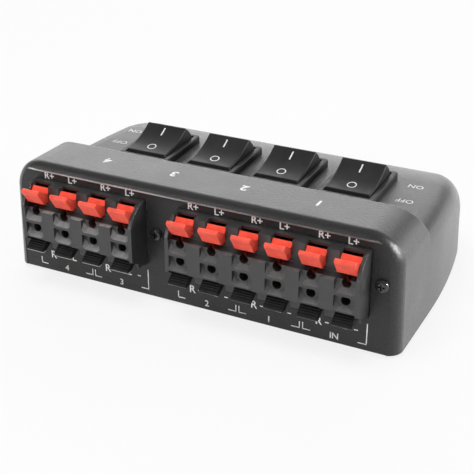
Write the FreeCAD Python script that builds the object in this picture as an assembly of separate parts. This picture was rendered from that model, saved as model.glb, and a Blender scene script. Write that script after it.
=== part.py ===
import FreeCAD, Part
import math
import os

# Speaker selector box: four rocker switches on a console panel, two rows of sprung push
# terminals on the face behind them.  Millimetres, +Z up.  The origin is the middle of the
# whole footprint, lever tips included, on the plane that the rubber feet stand on; the
# terminal face looks along -Y, the user sits at +Y.

V = FreeCAD.Vector
X_AXIS = V(1, 0, 0)
Y_AXIS = V(0, 1, 0)
Z_AXIS = V(0, 0, 1)

# ---------------------------------------------------------------- driving dimensions
overcut = 1.0                # how far a cutting shape runs past what it cuts
tiny = 0.01                  # tolerance when edges are picked by their place

# housing; its width follows from the terminal columns
housing_depth = 120.0
wall = 2.5
hood_top_z = 52.7            # top of the raised terminal hood
side_draft = 2.0             # degrees that the sides lean in
hood_length = 27.0           # flat top of the hood, from the terminal face to its rear edge
riser_lean = 29.5            # degrees that the hood's rear riser leans from the vertical
riser_foot_z = 36.0
hood_shoulder_radius = 14.7
face_top_radius = 3.6
face_corner_radius = 6.5
inner_corner_radius = 1.2
panel_z = 42.5               # panel height at the middle of the rocker row
panel_rise = 2.5             # degrees, the panel climbs towards the user
roll_start = 17.0            # where the panel starts to roll over, from the rocker row
roll_radius = 45.0
roll_end_slope = 0.999       # cosine of the steepest end that the roll-over may have
panel_shoulder_radii = (7.0, 15.0)   # under the hood, and at the user's side
side_bow_start = 40.0        # straight part of the side, from the terminal face
side_bow_radius = 330.0
user_corner_radius = 25.0
face_recess_depth = 0.5
face_recess_margin = 4.9
face_recess_top_z = 49.1
face_recess_corner = 5.0

# bottom cover, feet and screws
foot_proud = 1.5
foot_recess = 0.5
foot_radius = 6.0
cover_thickness = 2.5
cover_rebate = 1.3
cover_gap = 0.15
boss_radius = 4.0
screw_shank_radius = 1.5
screw_clearance = 0.05
cover_screw_hole_radius = 1.8
cover_screw_head_radius = 3.0
cover_screw_head_height = 1.6
cover_screw_length = 12.0
screw_end_room = 1.0
screw_head_room = 0.2
screw_cross_width = 0.7
screw_cross_share = 0.54     # half length of the cross, as a share of the head's radius
foot_edge_radius = 0.5
boss_side_margin = 10.0      # from the housing's sides to the two bosses behind the face
boss_face_distance = 33.0    # from the terminal face to the three bosses behind it
boss_user_side_margin = 18.0
boss_user_distance = 24.0    # from the user's side to the outer two bosses there
boss_middle_distance = 16.0
foot_side_margin = 16.0
foot_face_distance = 16.0
foot_user_side_margin = 30.0
foot_user_distance = 18.0

# rocker switches
rocker_count = 4
rocker_pitch = 32.6
rocker_row_distance = 59.0   # from the terminal face to the middle of the rocker row
bezel_width = 25.5
bezel_length = 32.0
bezel_height = 3.1
bezel_corner_radius = 1.6
bezel_edge_radius = 0.6
switch_case_width = 22.2
switch_case_length = 29.6
switch_case_depth = 14.0
switch_cavity_width = 20.8
switch_cavity_length = 28.2
switch_cavity_depth = 9.5
panel_cutout_gap = 0.2
rocker_width = 20.2
rocker_radius = 13.8
rocker_chord = 20.2          # straight distance across the concave top
rocker_sag = 1.3
rocker_tilt = 16.0           # degrees each way from level
rocker_pivot_depth = 5.43    # pivot below the bezel's top
rocker_skirt_angle = -10.0   # where the rounded end face stops, from level
rocker_edge_radius = 0.5
rocker_pin_radius = 1.5
rocker_pin_reach = 0.5
pin_clearance = 0.06
switch_tag_width = 4.8
switch_tag_thickness = 0.8
switch_tag_length = 8.0
switch_tag_spread_x = 10.0
switch_tag_spread_y = 14.0
switch_tag_root = 1.5
switch_tag_hole = 0.9
clip_spread = 16.0
clip_width = 5.0
clip_height = 3.0
clip_proud = 0.8
clip_gap = 0.2

# push terminals
column_pitch = 14.2
left_block_columns = 4
right_block_columns = 6
left_side_room = 3.0         # between a block's ear and the corner inside, for the sides' draft
right_side_room = 1.6
block_spacing = 27.4         # between the nearest columns of the two blocks
block_top_drop = 7.1         # from the hood's top down to the blocks' top
block_proud = 11.6
block_half_height = 14.4
block_mid_z = hood_top_z - block_top_drop - block_half_height
block_depth = 14.0           # behind the terminal face
block_end_margin = 5.9       # from the end column to the outside of the block
block_land = 1.6             # flat top and bottom of the end walls, from the face
block_shoulder = (8.0, 11.8)
block_front = (6.4, -9.0)    # top and bottom of the end walls' flat front
rib_land = 6.0               # flat top and bottom of the ribs between the end walls
rib_front = (4.9, -8.4)
rib_ledge_rise = 0.7         # how far a rib's ledges climb towards the face
cutout_gap = 0.25
chamber_width = 8.9
chamber_wall = 1.4
partition = 1.6
front_wall_back = 5.5
slot_start = 2.1
pocket_back = 9.6
port_radius = 1.9
port_height = 3.8            # above and below the block's middle
upper_gate_h = 6.1
lower_lip_h = -8.1
pocket_width = 8.4
pocket_margin = 0.1
pocket_fall = 2.7
pocket_spread = 4.3          # how far the cheeks' lines fall from the port to the front
pocket_ceiling = 1.2
ear_thickness = 2.5
ear_height = 10.0
ear_corner_radius = 2.5
flange_rise = 1.2
flange_inset = 3.0
ear_reach = 13.5
block_screw_offset = 10.7
block_screw_h = 0.4
block_screw_head_radius = 2.75
block_screw_head_height = 1.9
block_screw_length = 8.0
block_screw_dome_radius = 1.33
block_screw_bite = 0.5
back_plate_thickness = 1.6
back_plate_inset = 1.0
tag_length = 6.0
tag_width = 3.2
tag_thickness = 0.5
tag_h = 9.0
contact_width = 4.4
contact_thickness = 0.4
contact_bend_proud = -11.0
contact_low = (1.1, 3.3)
contact_lip = (2.1, 3.6)

# lever, in a plane of (proud of the face, height from the block's middle)
lever_width = 8.4
lever_pivot = (2.5, 8.0)
lever_pin_radius = 1.2
lever_pin_reach = 0.75
lever_outer_top = (4.7, 13.2)
lever_outer_end = (9.2, 7.3)
lever_plate = 2.2
lever_short_end_h = 9.7      # the minus levers' plates stop here
fin_root = (6.2, 10.0)
fin_tip = (12.7, 13.7)
fin_thickness = 2.1
lip_foot = (9.0, 9.5)        # lower corner of the minus levers' lips
groove_count = 4
groove_pitch = 1.05
groove_width = 0.7
groove_depth = 0.25
lever_hub_radius = 2.2
web_top = (4.8, 11.1)        # the web's corners inside the outer plate
web_foot = (5.1, 9.6)
web_gate_rise = 0.3
web_hub_shift = (-0.4, -0.1)
gate_front = 4.7
gate_thickness = 1.3
gate_foot_h = 1.3
gate_overlap = 0.8
gate_hole_radius = 1.7
arm_width = 1.5
arm_tip = (-3.1, 4.2)
arm_thickness = 1.1
arm_elbow = (0.6, -2.0)      # from the pivot

# inside wiring
wire_radius = 0.8
wire_bend = 4.0
bus_radius = 0.6
wire_first_run = 7.0
wire_floor_z = 10.0
wire_pair_shift = 1.2
solder_gap = 0.05
lane_drop = 2.5
lane_offset = 4.5
lane_z = 13.0

# ---------------------------------------------------------------- derived planes
left_face_margin = ear_reach + inner_corner_radius + wall + left_side_room
right_face_margin = ear_reach + inner_corner_radius + wall + right_side_room
left_block_span = column_pitch * (left_block_columns - 1)
right_block_span = column_pitch * (right_block_columns - 1)
housing_width = left_face_margin + left_block_span + block_spacing + right_block_span + right_face_margin
half_width = housing_width / 2
left_block_x = left_face_margin - half_width
right_block_x = half_width - right_face_margin - right_block_span
fin_run = (fin_tip[0] - fin_root[0], fin_tip[1] - fin_root[1])
fin_length = math.hypot(fin_run[0], fin_run[1])
lever_reach = fin_tip[0] + fin_thickness / 2 * (1 - fin_run[0] / fin_length)
face_y = (lever_reach - housing_depth) / 2
user_y = face_y + housing_depth
rocker_row_y = face_y + rocker_row_distance
base_z = foot_proud
cover_top_z = base_z + cover_thickness
bow_start_y = face_y + side_bow_start
block_back_y = face_y + block_depth
rocker_first_x = -rocker_pitch * (rocker_count - 1) / 2
boss_side_x = half_width - boss_side_margin
boss_face_y = face_y + boss_face_distance
boss_user_x = half_width - boss_user_side_margin
boss_user_y = user_y - boss_user_distance
screw_boss_places = [
    (-boss_side_x, boss_face_y),
    (right_block_x - block_spacing / 2, boss_face_y),
    (boss_side_x, boss_face_y),
    (-boss_user_x, boss_user_y),
    (0.0, user_y - boss_middle_distance),
    (boss_user_x, boss_user_y),
]
foot_side_x = half_width - foot_side_margin
foot_face_y = face_y + foot_face_distance
foot_user_x = half_width - foot_user_side_margin
foot_user_y = user_y - foot_user_distance
foot_places = [
    (-foot_side_x, foot_face_y),
    (foot_side_x, foot_face_y),
    (-foot_user_x, foot_user_y),
    (foot_user_x, foot_user_y),
]


# ---------------------------------------------------------------- helpers
def polar(centre, radius, degrees):
    """Point at an angle on a circle about centre, in two dimensions."""
    angle = math.radians(degrees)
    return (centre[0] + radius * math.cos(angle), centre[1] + radius * math.sin(angle))


def prism_x(points, x_start, x_end):
    """Solid from a closed outline of (y, z) points between two x planes."""
    corners = [V(x_start, y, z) for y, z in points]
    return Part.Face(Part.makePolygon(corners + corners[:1])).extrude(V(x_end - x_start, 0, 0))


def block_prism(points, x_start, x_end):
    """Solid from (proud, height) points of a terminal block between two x planes."""
    return prism_x([(face_y - proud, block_mid_z + height) for proud, height in points], x_start, x_end)


def box(x_range, y_range, z_range):
    """Box between two corners given as ranges."""
    size = [high - low for low, high in (x_range, y_range, z_range)]
    return Part.makeBox(size[0], size[1], size[2], V(x_range[0], y_range[0], z_range[0]))


def cylinder(radius, start, axis, length):
    """Cylinder from start along axis."""
    return Part.makeCylinder(radius, length, start, axis)


def rounded_box(width, length, height, radius, bottom):
    """Box centred on the Z axis with rounded upright edges."""
    solid = box((-width / 2, width / 2), (-length / 2, length / 2), (bottom, bottom + height))
    upright = [edge for edge in solid.Edges if abs(edge.tangentAt(edge.FirstParameter).z) > 0.9]
    return solid.makeFillet(radius, upright)


def cross_recess(head_radius, depth):
    """Cutter for a screw's cross slot, about the Z axis with its mouth at z = 0."""
    reach = screw_cross_share * head_radius
    half = screw_cross_width / 2
    blade = box((-reach, reach), (-half, half), (-depth, overcut))
    return blade.fuse(box((-half, half), (-reach, reach), (-depth, overcut)))


def aimed(shape, degrees, place):
    """Turn a shape about the X axis, then move it to a place."""
    turned = shape.copy()
    turned.rotate(V(0, 0, 0), X_AXIS, degrees)
    turned.translate(place)
    return turned


def write(shape, name):
    """Write one node."""
    shape.exportStep("parts/%s.step" % name)


# ---------------------------------------------------------------- housing
def plan_face(inset, front_y, z):
    """Plan outline: straight sides, a gentle bow, large corners at the user's side."""
    bow_radius = side_bow_radius - inset
    corner_radius = user_corner_radius - inset
    bow_centre = (half_width - side_bow_radius, bow_start_y)
    corner_y = user_y - user_corner_radius
    reach = side_bow_radius - user_corner_radius
    turn = math.degrees(math.asin((corner_y - bow_start_y) / reach))
    corner_centre = polar(bow_centre, reach, turn)
    right = [
        polar(bow_centre, bow_radius, 0),
        polar(bow_centre, bow_radius, turn / 2),
        polar(bow_centre, bow_radius, turn),
        polar(corner_centre, corner_radius, (turn + 90) / 2),
        polar(corner_centre, corner_radius, 90),
    ]
    right = [V(x, y, z) for x, y in right]
    left = [V(-point.x, point.y, point.z) for point in right]
    front_right = V(half_width - inset, front_y, z)
    front_left = V(inset - half_width, front_y, z)
    edges = [
        Part.LineSegment(front_left, front_right),
        Part.LineSegment(front_right, right[0]),
        Part.Arc(right[0], right[1], right[2]),
        Part.Arc(right[2], right[3], right[4]),
        Part.LineSegment(right[4], left[4]),
        Part.Arc(left[4], left[3], left[2]),
        Part.Arc(left[2], left[1], left[0]),
        Part.LineSegment(left[0], front_left),
    ]
    return Part.Face(Part.Wire([edge.toShape() for edge in edges]))


def draft_at(z):
    """How far the sides lean in at a height."""
    return (z - base_z) * math.tan(math.radians(side_draft))


def panel_height(y, inset=0.0):
    """Height of the switch panel's plane at y, moved in by inset."""
    lean = math.radians(panel_rise)
    return panel_z + (y - rocker_row_y) * math.tan(lean) - inset / math.cos(lean)


def filleted(body, chosen):
    """Round edges given as (number, radius at its start, radius at its end)."""
    document = FreeCAD.newDocument("rounding")
    blank = document.addObject("Part::Feature", "blank")
    blank.Shape = body
    fillet = document.addObject("Part::Fillet", "fillet")
    fillet.Base = blank
    fillet.Edges = chosen
    document.recompute()
    rounded = fillet.Shape.Solids[0].copy()
    FreeCAD.closeDocument(document.Name)
    return rounded


def console_body(inset, bottom):
    """The low part: panel plane, roll-over towards the user, rounded shoulders."""
    front = face_y + hood_length / 2
    roll_y = rocker_row_y + roll_start
    lean = math.radians(panel_rise)
    centre = (roll_y + roll_radius * math.sin(lean), panel_height(roll_y) - roll_radius * math.cos(lean))
    radius = roll_radius - inset
    end_angle = math.degrees(math.acos(min(roll_end_slope, (user_y + wall - centre[0]) / radius)))
    start = polar(centre, radius, 90 + panel_rise)
    middle = polar(centre, radius, (90 + panel_rise + end_angle) / 2)
    end = polar(centre, radius, end_angle)
    x_start = -half_width - wall
    span = [V(x_start, y, z) for y, z in (start, middle, end)]
    front_top = V(x_start, front, panel_height(front, inset))
    front_bottom = V(x_start, front, bottom)
    back_bottom = V(x_start, end[0], bottom)
    edges = [
        Part.LineSegment(front_bottom, front_top),
        Part.LineSegment(front_top, span[0]),
        Part.Arc(span[0], span[1], span[2]),
        Part.LineSegment(span[2], back_bottom),
        Part.LineSegment(back_bottom, front_bottom),
    ]
    profile = Part.Face(Part.Wire([edge.toShape() for edge in edges]))
    side_view = profile.extrude(V(housing_width + 2 * wall, 0, 0))
    foot = plan_face(inset + draft_at(bottom), front, bottom)
    crown = plan_face(inset + draft_at(hood_top_z), front, hood_top_z)
    plan = Part.makeLoft([foot.OuterWire, crown.OuterWire], True, True)
    body = side_view.common(plan)
    body = body.Solids[0] if body.Solids else body
    slope = (panel_shoulder_radii[1] - panel_shoulder_radii[0]) / (user_y - front)
    shoulder = []
    for index, edge in enumerate(body.Edges):
        middle_point = edge.valueAt((edge.FirstParameter + edge.LastParameter) / 2)
        low = min(vertex.Z for vertex in edge.Vertexes)
        on_front = abs(middle_point.y - front) < tiny
        extent = edge.BoundBox
        upright = extent.ZLength > extent.XLength and extent.ZLength > extent.YLength
        across_panel = abs(middle_point.x) < 1.0 and middle_point.y < user_y - wall - overcut
        if low > bottom + overcut and not on_front and not upright and not across_panel:
            ends = [edge.valueAt(edge.FirstParameter), edge.valueAt(edge.LastParameter)]
            radii = [panel_shoulder_radii[0] + slope * (end.y - front) - inset for end in ends]
            shoulder.append((index + 1, radii[0], radii[1]))
    return filleted(body, shoulder)


def hood_body(inset, bottom):
    """The raised part over the terminals, with its leaning rear riser."""
    top = hood_top_z - inset
    front = face_y + inset
    foot_side = half_width - inset - draft_at(bottom)
    top_side = half_width - inset - draft_at(top)
    corners = [V(-foot_side, front, bottom), V(-top_side, front, top),
               V(top_side, front, top), V(foot_side, front, bottom)]
    section = Part.Face(Part.makePolygon(corners + corners[:1]))
    body = section.extrude(V(0, housing_depth / 2, 0))
    shoulders = []
    for edge in body.Edges:
        extent = edge.BoundBox
        if extent.ZMin > top - tiny and extent.XLength < tiny:
            shoulders.append(edge)
    body = body.makeFillet(hood_shoulder_radius - inset, shoulders)
    rear_top = face_y + hood_length - inset * (1 - math.sin(math.radians(riser_lean)))
    rear_foot = rear_top + (top - riser_foot_z) * math.tan(math.radians(riser_lean))
    above = top + overcut
    below = bottom - overcut
    behind = [(rear_top, top), (rear_top, above), (user_y, above), (user_y, below),
              (rear_foot, below), (rear_foot, riser_foot_z)]
    body = body.cut(prism_x(behind, -half_width - overcut, half_width + overcut))
    corner_radius = inner_corner_radius if inset > 0 else face_corner_radius
    return rounded_front(body, front, top, corner_radius, face_top_radius - inset)


def rounded_front(body, front, top, corner_radius, top_radius):
    """Round the face's upright corners and its top edge, each with its own radius."""
    chosen = []
    for index, edge in enumerate(body.Edges):
        extent = edge.BoundBox
        if extent.YLength > tiny or abs(extent.YMin - front) > tiny:
            continue
        if isinstance(edge.Curve, Part.Line) and extent.ZLength > extent.XLength:
            chosen.append((index + 1, corner_radius, corner_radius))
        elif extent.ZLength < tiny and extent.ZMin > top - tiny:
            chosen.append((index + 1, top_radius, top_radius))
        elif extent.ZLength > tiny:
            rises = edge.valueAt(edge.FirstParameter).z < edge.valueAt(edge.LastParameter).z
            ends = (corner_radius, top_radius) if rises else (top_radius, corner_radius)
            chosen.append((index + 1, ends[0], ends[1]))
    return filleted(body, chosen)


def cover_outline(inset, bottom, height):
    """Upright prism that follows the housing's plan, with the face's rounded corners."""
    prism = plan_face(inset, face_y + inset, bottom).extrude(V(0, 0, height))
    corners = []
    for edge in prism.Edges:
        extent = edge.BoundBox
        if extent.ZLength > height / 2 and extent.YMin < face_y + inset + tiny:
            corners.append(edge)
    return prism.makeFillet(face_corner_radius - inset, corners)


def on_panel(shape, x):
    """Move a shape from the panel's own frame to a place in the rocker row."""
    placed = shape.copy()
    placed.rotate(V(0, 0, 0), X_AXIS, panel_rise)
    placed.translate(V(x, rocker_row_y, panel_z))
    return placed


def rocker_places():
    """Middle of each rocker switch, from left to right as seen from the terminals."""
    return [rocker_first_x + rocker_pitch * index for index in range(rocker_count)]


def block_columns(first_x, columns):
    """Middle of each wire column of a terminal block."""
    return [first_x + column_pitch * index for index in range(columns)]


def block_screw_places(first_x, columns):
    """The two screws of a terminal block, just outside its end columns."""
    last_x = first_x + column_pitch * (columns - 1)
    z = block_mid_z + block_screw_h
    return [(first_x - block_screw_offset, z), (last_x + block_screw_offset, z)]


def face_recess():
    """Shallow field that the terminal face is set back by, open at the bottom."""
    side = half_width - face_recess_margin
    depth = (face_y - overcut, face_y + face_recess_depth)
    field = box((-side, side), depth, (base_z - overcut, face_recess_top_z))
    corners = []
    for edge in field.Edges:
        extent = edge.BoundBox
        if extent.YLength > face_recess_depth and extent.ZMin > base_z:
            corners.append(edge)
    return field.makeFillet(face_recess_corner, corners)


def housing_shell():
    """Upper housing: hood and console in one moulding, with its cut-outs and screw bosses."""
    outside = hood_body(0, base_z).fuse(console_body(0, base_z))
    below = base_z - overcut
    inside = hood_body(wall, below).fuse(console_body(wall, below))
    shell = outside.cut(inside)
    boss_height = hood_top_z - cover_top_z
    bosses = [cylinder(boss_radius, V(x, y, cover_top_z), Z_AXIS, boss_height) for x, y in screw_boss_places]
    bosses = [boss.common(outside) for boss in bosses]
    shell = shell.fuse(bosses)
    shell = shell.cut(cover_outline(wall - cover_rebate, below, cover_thickness + overcut))
    shell = shell.cut(face_recess())
    cuts = []
    pilot = screw_shank_radius + screw_clearance
    for x, y in screw_boss_places:
        depth = cover_screw_length + screw_end_room
        cuts.append(cylinder(pilot, V(x, y, base_z), Z_AXIS, depth))
    for first_x, columns in ((left_block_x, left_block_columns), (right_block_x, right_block_columns)):
        reach = block_end_margin + cutout_gap
        span = (first_x - reach, first_x + column_pitch * (columns - 1) + reach)
        height = block_half_height + cutout_gap
        through = (face_y - overcut, face_y + wall + overcut)
        cuts.append(box(span, through, (block_mid_z - height, block_mid_z + height)))
        for x, z in block_screw_places(first_x, columns):
            start = V(x, face_y - overcut, z)
            cuts.append(cylinder(screw_shank_radius + screw_head_room, start, Y_AXIS, wall + 2 * overcut))
    cutout = rounded_box(switch_case_width + 2 * panel_cutout_gap, switch_case_length + 2 * panel_cutout_gap,
                         4 * wall, bezel_corner_radius, -2 * wall)
    for x in rocker_places():
        cuts.append(on_panel(cutout, x))
    return shell.cut(cuts).removeSplitter()


# ---------------------------------------------------------------- bottom
def bottom_cover():
    """Flat cover in the housing's rebate, with sunk screw holes and shallow foot seats."""
    cover = cover_outline(wall - cover_rebate + cover_gap, base_z, cover_thickness)
    cuts = []
    for x, y in screw_boss_places:
        start = V(x, y, base_z - overcut)
        cuts.append(cylinder(cover_screw_hole_radius, start, Z_AXIS, cover_thickness + 2 * overcut))
        sink = cover_screw_head_radius + screw_head_room
        cuts.append(cylinder(sink, start, Z_AXIS, cover_screw_head_height + overcut))
    for x, y in foot_places:
        start = V(x, y, base_z - overcut)
        cuts.append(cylinder(foot_radius + screw_clearance, start, Z_AXIS, foot_recess + overcut))
    return cover.cut(cuts)


def rubber_foot(x, y):
    """Stick-on rubber foot with a rounded lower edge."""
    foot = cylinder(foot_radius, V(x, y, 0), Z_AXIS, foot_proud + foot_recess)
    lower = [edge for edge in foot.Edges if edge.BoundBox.ZMax < tiny]
    return foot.makeFillet(foot_edge_radius, lower)


def cover_screw(x, y):
    """Self-tapping screw, driven up into a boss from below."""
    head_low = base_z + 2 * screw_clearance
    head_high = base_z + cover_screw_head_height
    head = cylinder(cover_screw_head_radius, V(x, y, head_low), Z_AXIS, head_high - head_low)
    tip = base_z + cover_screw_length
    shank = cylinder(screw_shank_radius, V(x, y, head_high - overcut), Z_AXIS, tip - head_high + overcut)
    cross = cross_recess(cover_screw_head_radius, cover_screw_head_height / 2)
    return head.fuse(shank).cut(aimed(cross, 180, V(x, y, head_low)))


# ---------------------------------------------------------------- terminal blocks
def end_wall(x_start, x_end):
    """End wall of a terminal block, with a gently curved upper slope."""
    def at(proud, height):
        return V(x_start, face_y - proud, block_mid_z + height)

    top = block_half_height
    front_top, front_bottom = block_front
    shoulder = at(block_shoulder[0], block_shoulder[1])
    edges = [
        Part.LineSegment(at(-block_depth, top), at(block_land, top)),
        Part.Arc(at(block_land, top), shoulder, at(block_proud, front_top)),
        Part.LineSegment(at(block_proud, front_top), at(block_proud, front_bottom)),
        Part.LineSegment(at(block_proud, front_bottom), at(block_land, -top)),
        Part.LineSegment(at(block_land, -top), at(-block_depth, -top)),
        Part.LineSegment(at(-block_depth, -top), at(-block_depth, top)),
    ]
    profile = Part.Face(Part.Wire([edge.toShape() for edge in edges]))
    return profile.extrude(V(x_end - x_start, 0, 0))


def block_ribs(x_start, x_end):
    """Body between the end walls: its ribs step back behind the levers' plates."""
    top = block_half_height
    front_top, front_bottom = rib_front
    outline = [(-block_depth, top), (rib_land, top), (rib_land, front_top + rib_ledge_rise),
               (block_proud, front_top), (block_proud, front_bottom),
               (rib_land, front_bottom - rib_ledge_rise), (rib_land, -top), (-block_depth, -top)]
    return block_prism(outline, x_start, x_end)


def port_pocket(x, port, ceiling):
    """Pocket before a port: a floor that falls forward, between two slanted cheeks."""
    floor = port - port_radius - pocket_margin
    out = block_proud + overcut
    side = pocket_width / 2
    profile = [(pocket_back, floor), (out, floor - pocket_fall), (out, ceiling), (pocket_back, ceiling)]
    slab = block_prism(profile, x - side, x + side)
    mouth = [(-side, port), (-port_radius, floor), (port_radius, floor), (side, port),
             (side, ceiling + block_half_height), (-side, ceiling + block_half_height)]
    corners = [V(x + across, face_y - pocket_back, block_mid_z + height) for across, height in mouth]
    depth = out - pocket_back
    funnel = Part.Face(Part.makePolygon(corners + corners[:1])).extrude(V(0, -depth, -pocket_spread))
    return slab.common(funnel)


def terminal_block(first_x, columns):
    """Moulding with a chamber, a funnelled wire port and a lever slot for every wire."""
    column_places = block_columns(first_x, columns)
    low_x = first_x - block_end_margin
    high_x = column_places[-1] + block_end_margin
    top = block_half_height
    end_thickness = block_end_margin - chamber_width / 2
    block = block_ribs(low_x + end_thickness / 2, high_x - end_thickness / 2)
    block = block.fuse([end_wall(low_x, low_x + end_thickness), end_wall(high_x - end_thickness, high_x)])
    flange_height = top + flange_rise
    flange_y = (face_y + wall, face_y + wall + ear_thickness / 2)
    flange_z = (block_mid_z - flange_height, block_mid_z + flange_height)
    flange = box((low_x + flange_inset, high_x - flange_inset), flange_y, flange_z)
    ear_z = block_mid_z + block_screw_h
    ear_x = (first_x - ear_reach, column_places[-1] + ear_reach)
    ear_y = (face_y + wall, face_y + wall + ear_thickness)
    ears = box(ear_x, ear_y, (ear_z - ear_height / 2, ear_z + ear_height / 2))
    ear_corners = [edge for edge in ears.Edges if edge.BoundBox.YLength > ear_thickness / 2]
    ears = ears.makeFillet(ear_corner_radius, ear_corners)
    block = block.fuse([flange, ears])
    half = chamber_width / 2
    roof = top - chamber_wall
    middle = partition / 2
    out = block_proud + overcut
    beyond = top + flange_rise + overcut
    behind = -block_depth - overcut
    upper = [(behind, middle), (front_wall_back, middle), (front_wall_back, upper_gate_h),
             (out, upper_gate_h), (out, beyond), (slot_start, beyond), (slot_start, roof), (behind, roof)]
    lower = [(behind, -middle), (front_wall_back, -middle), (front_wall_back, lower_lip_h),
             (out, lower_lip_h), (out, -beyond), (slot_start, -beyond), (slot_start, -roof), (behind, -roof)]
    cuts = []
    for x in column_places:
        for outline in (upper, lower):
            cuts.append(block_prism(outline, x - half, x + half))
        cuts.append(port_pocket(x, port_height, upper_gate_h + overcut))
        cuts.append(port_pocket(x, -port_height, -pocket_ceiling))
        for port in (port_height, -port_height):
            start = V(x, face_y - pocket_back - overcut, block_mid_z + port)
            cuts.append(cylinder(port_radius, start, Y_AXIS, pocket_back - front_wall_back + 2 * overcut))
    bore_reach = lever_width / 2 + lever_pin_reach + pin_clearance
    pivot_y = face_y - lever_pivot[0]
    for side in (1, -1):
        start = V(first_x - bore_reach, pivot_y, block_mid_z + side * lever_pivot[1])
        length = column_places[-1] - first_x + 2 * bore_reach
        cuts.append(cylinder(lever_pin_radius + pin_clearance, start, X_AXIS, length))
    for x, z in block_screw_places(first_x, columns):
        cuts.append(cylinder(screw_shank_radius + screw_clearance, V(x, face_y, z), Y_AXIS, block_depth))
    return block.cut(cuts).removeSplitter()


def back_plate(first_x, columns):
    """Fibre board that closes a block's chambers and carries the contact tags."""
    column_places = block_columns(first_x, columns)
    margin = block_end_margin
    height = block_half_height - back_plate_inset
    plate_y = (block_back_y, block_back_y + back_plate_thickness)
    plate = box((first_x - margin, column_places[-1] + margin), plate_y,
                (block_mid_z - height, block_mid_z + height))
    slots = []
    half_width_of_slot = tag_width / 2 + screw_clearance
    half_height_of_slot = tag_thickness / 2 + screw_clearance
    for x in column_places:
        for side in (1, -1):
            z = block_mid_z + side * tag_h
            slots.append(box((x - half_width_of_slot, x + half_width_of_slot),
                             (plate_y[0] - overcut, plate_y[1] + overcut),
                             (z - half_height_of_slot, z + half_height_of_slot)))
    return plate.cut(slots)


def contact_spring(x, side):
    """Leaf spring that clamps the bared wire, with its solder tag through the back plate."""
    half = contact_thickness / 2
    line = [(-block_depth, tag_h), (contact_bend_proud, tag_h), contact_low, contact_lip]
    outline = [(proud, side * (height + half)) for proud, height in line]
    outline += [(proud, side * (height - half)) for proud, height in reversed(line)]
    leaf = block_prism(outline, x - contact_width / 2, x + contact_width / 2)
    tag_end = block_back_y + back_plate_thickness + tag_length
    z = block_mid_z + side * tag_h
    tag = box((x - tag_width / 2, x + tag_width / 2), (block_back_y, tag_end),
              (z - tag_thickness / 2, z + tag_thickness / 2))
    return leaf.fuse(tag).removeSplitter()


def block_screw(x, z):
    """Pan-head cross-slot screw through the housing's face into a block's ear."""
    face = face_y + face_recess_depth
    head_face = face - block_screw_head_height
    head = cylinder(block_screw_head_radius, V(x, head_face, z), Y_AXIS, block_screw_head_height)
    outer = [edge for edge in head.Edges if edge.BoundBox.YMax < head_face + block_screw_head_height / 2]
    head = head.makeFillet(block_screw_dome_radius, outer)
    shank = cylinder(screw_shank_radius, V(x, face - block_screw_bite, z), Y_AXIS, block_screw_length)
    cross = cross_recess(block_screw_head_radius, block_screw_head_height / 2)
    return head.fuse(shank).cut(aimed(cross, 90, V(x, head_face, z)))


# ---------------------------------------------------------------- levers
def lip_outline(foot):
    """Finger lip of a lever, from its root to a round tip, with grip grooves on its outer face."""
    along = (fin_run[0] / fin_length, fin_run[1] / fin_length)
    across = (-along[1], along[0])
    half = fin_thickness / 2
    straight = fin_length - half
    tip_centre = (fin_root[0] + along[0] * straight, fin_root[1] + along[1] * straight)
    upper_root = (fin_root[0] + across[0] * half, fin_root[1] + across[1] * half)
    upper_tip = (tip_centre[0] + across[0] * half, tip_centre[1] + across[1] * half)
    reach = (tip_centre[0] - foot[0], tip_centre[1] - foot[1])
    span = math.hypot(reach[0], reach[1])
    lean = math.atan2(reach[1], reach[0]) - math.asin(half / span)
    slope = (math.cos(lean), math.sin(lean))
    outward = (slope[1], -slope[0])
    face_length = math.sqrt(span ** 2 - half ** 2)
    first = (face_length - groove_pitch * groove_count) / 2
    lower = [foot]
    for index in range(groove_count):
        start = first + groove_pitch * index
        bottom = start + groove_width / 2
        for distance, depth in ((start, 0), (bottom, groove_depth), (start + groove_width, 0)):
            lower.append((foot[0] + slope[0] * distance - outward[0] * depth,
                          foot[1] + slope[1] * distance - outward[1] * depth))
    lower.append((foot[0] + slope[0] * face_length, foot[1] + slope[1] * face_length))
    return [upper_root] + lower + [tip_centre, upper_tip], tip_centre


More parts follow.
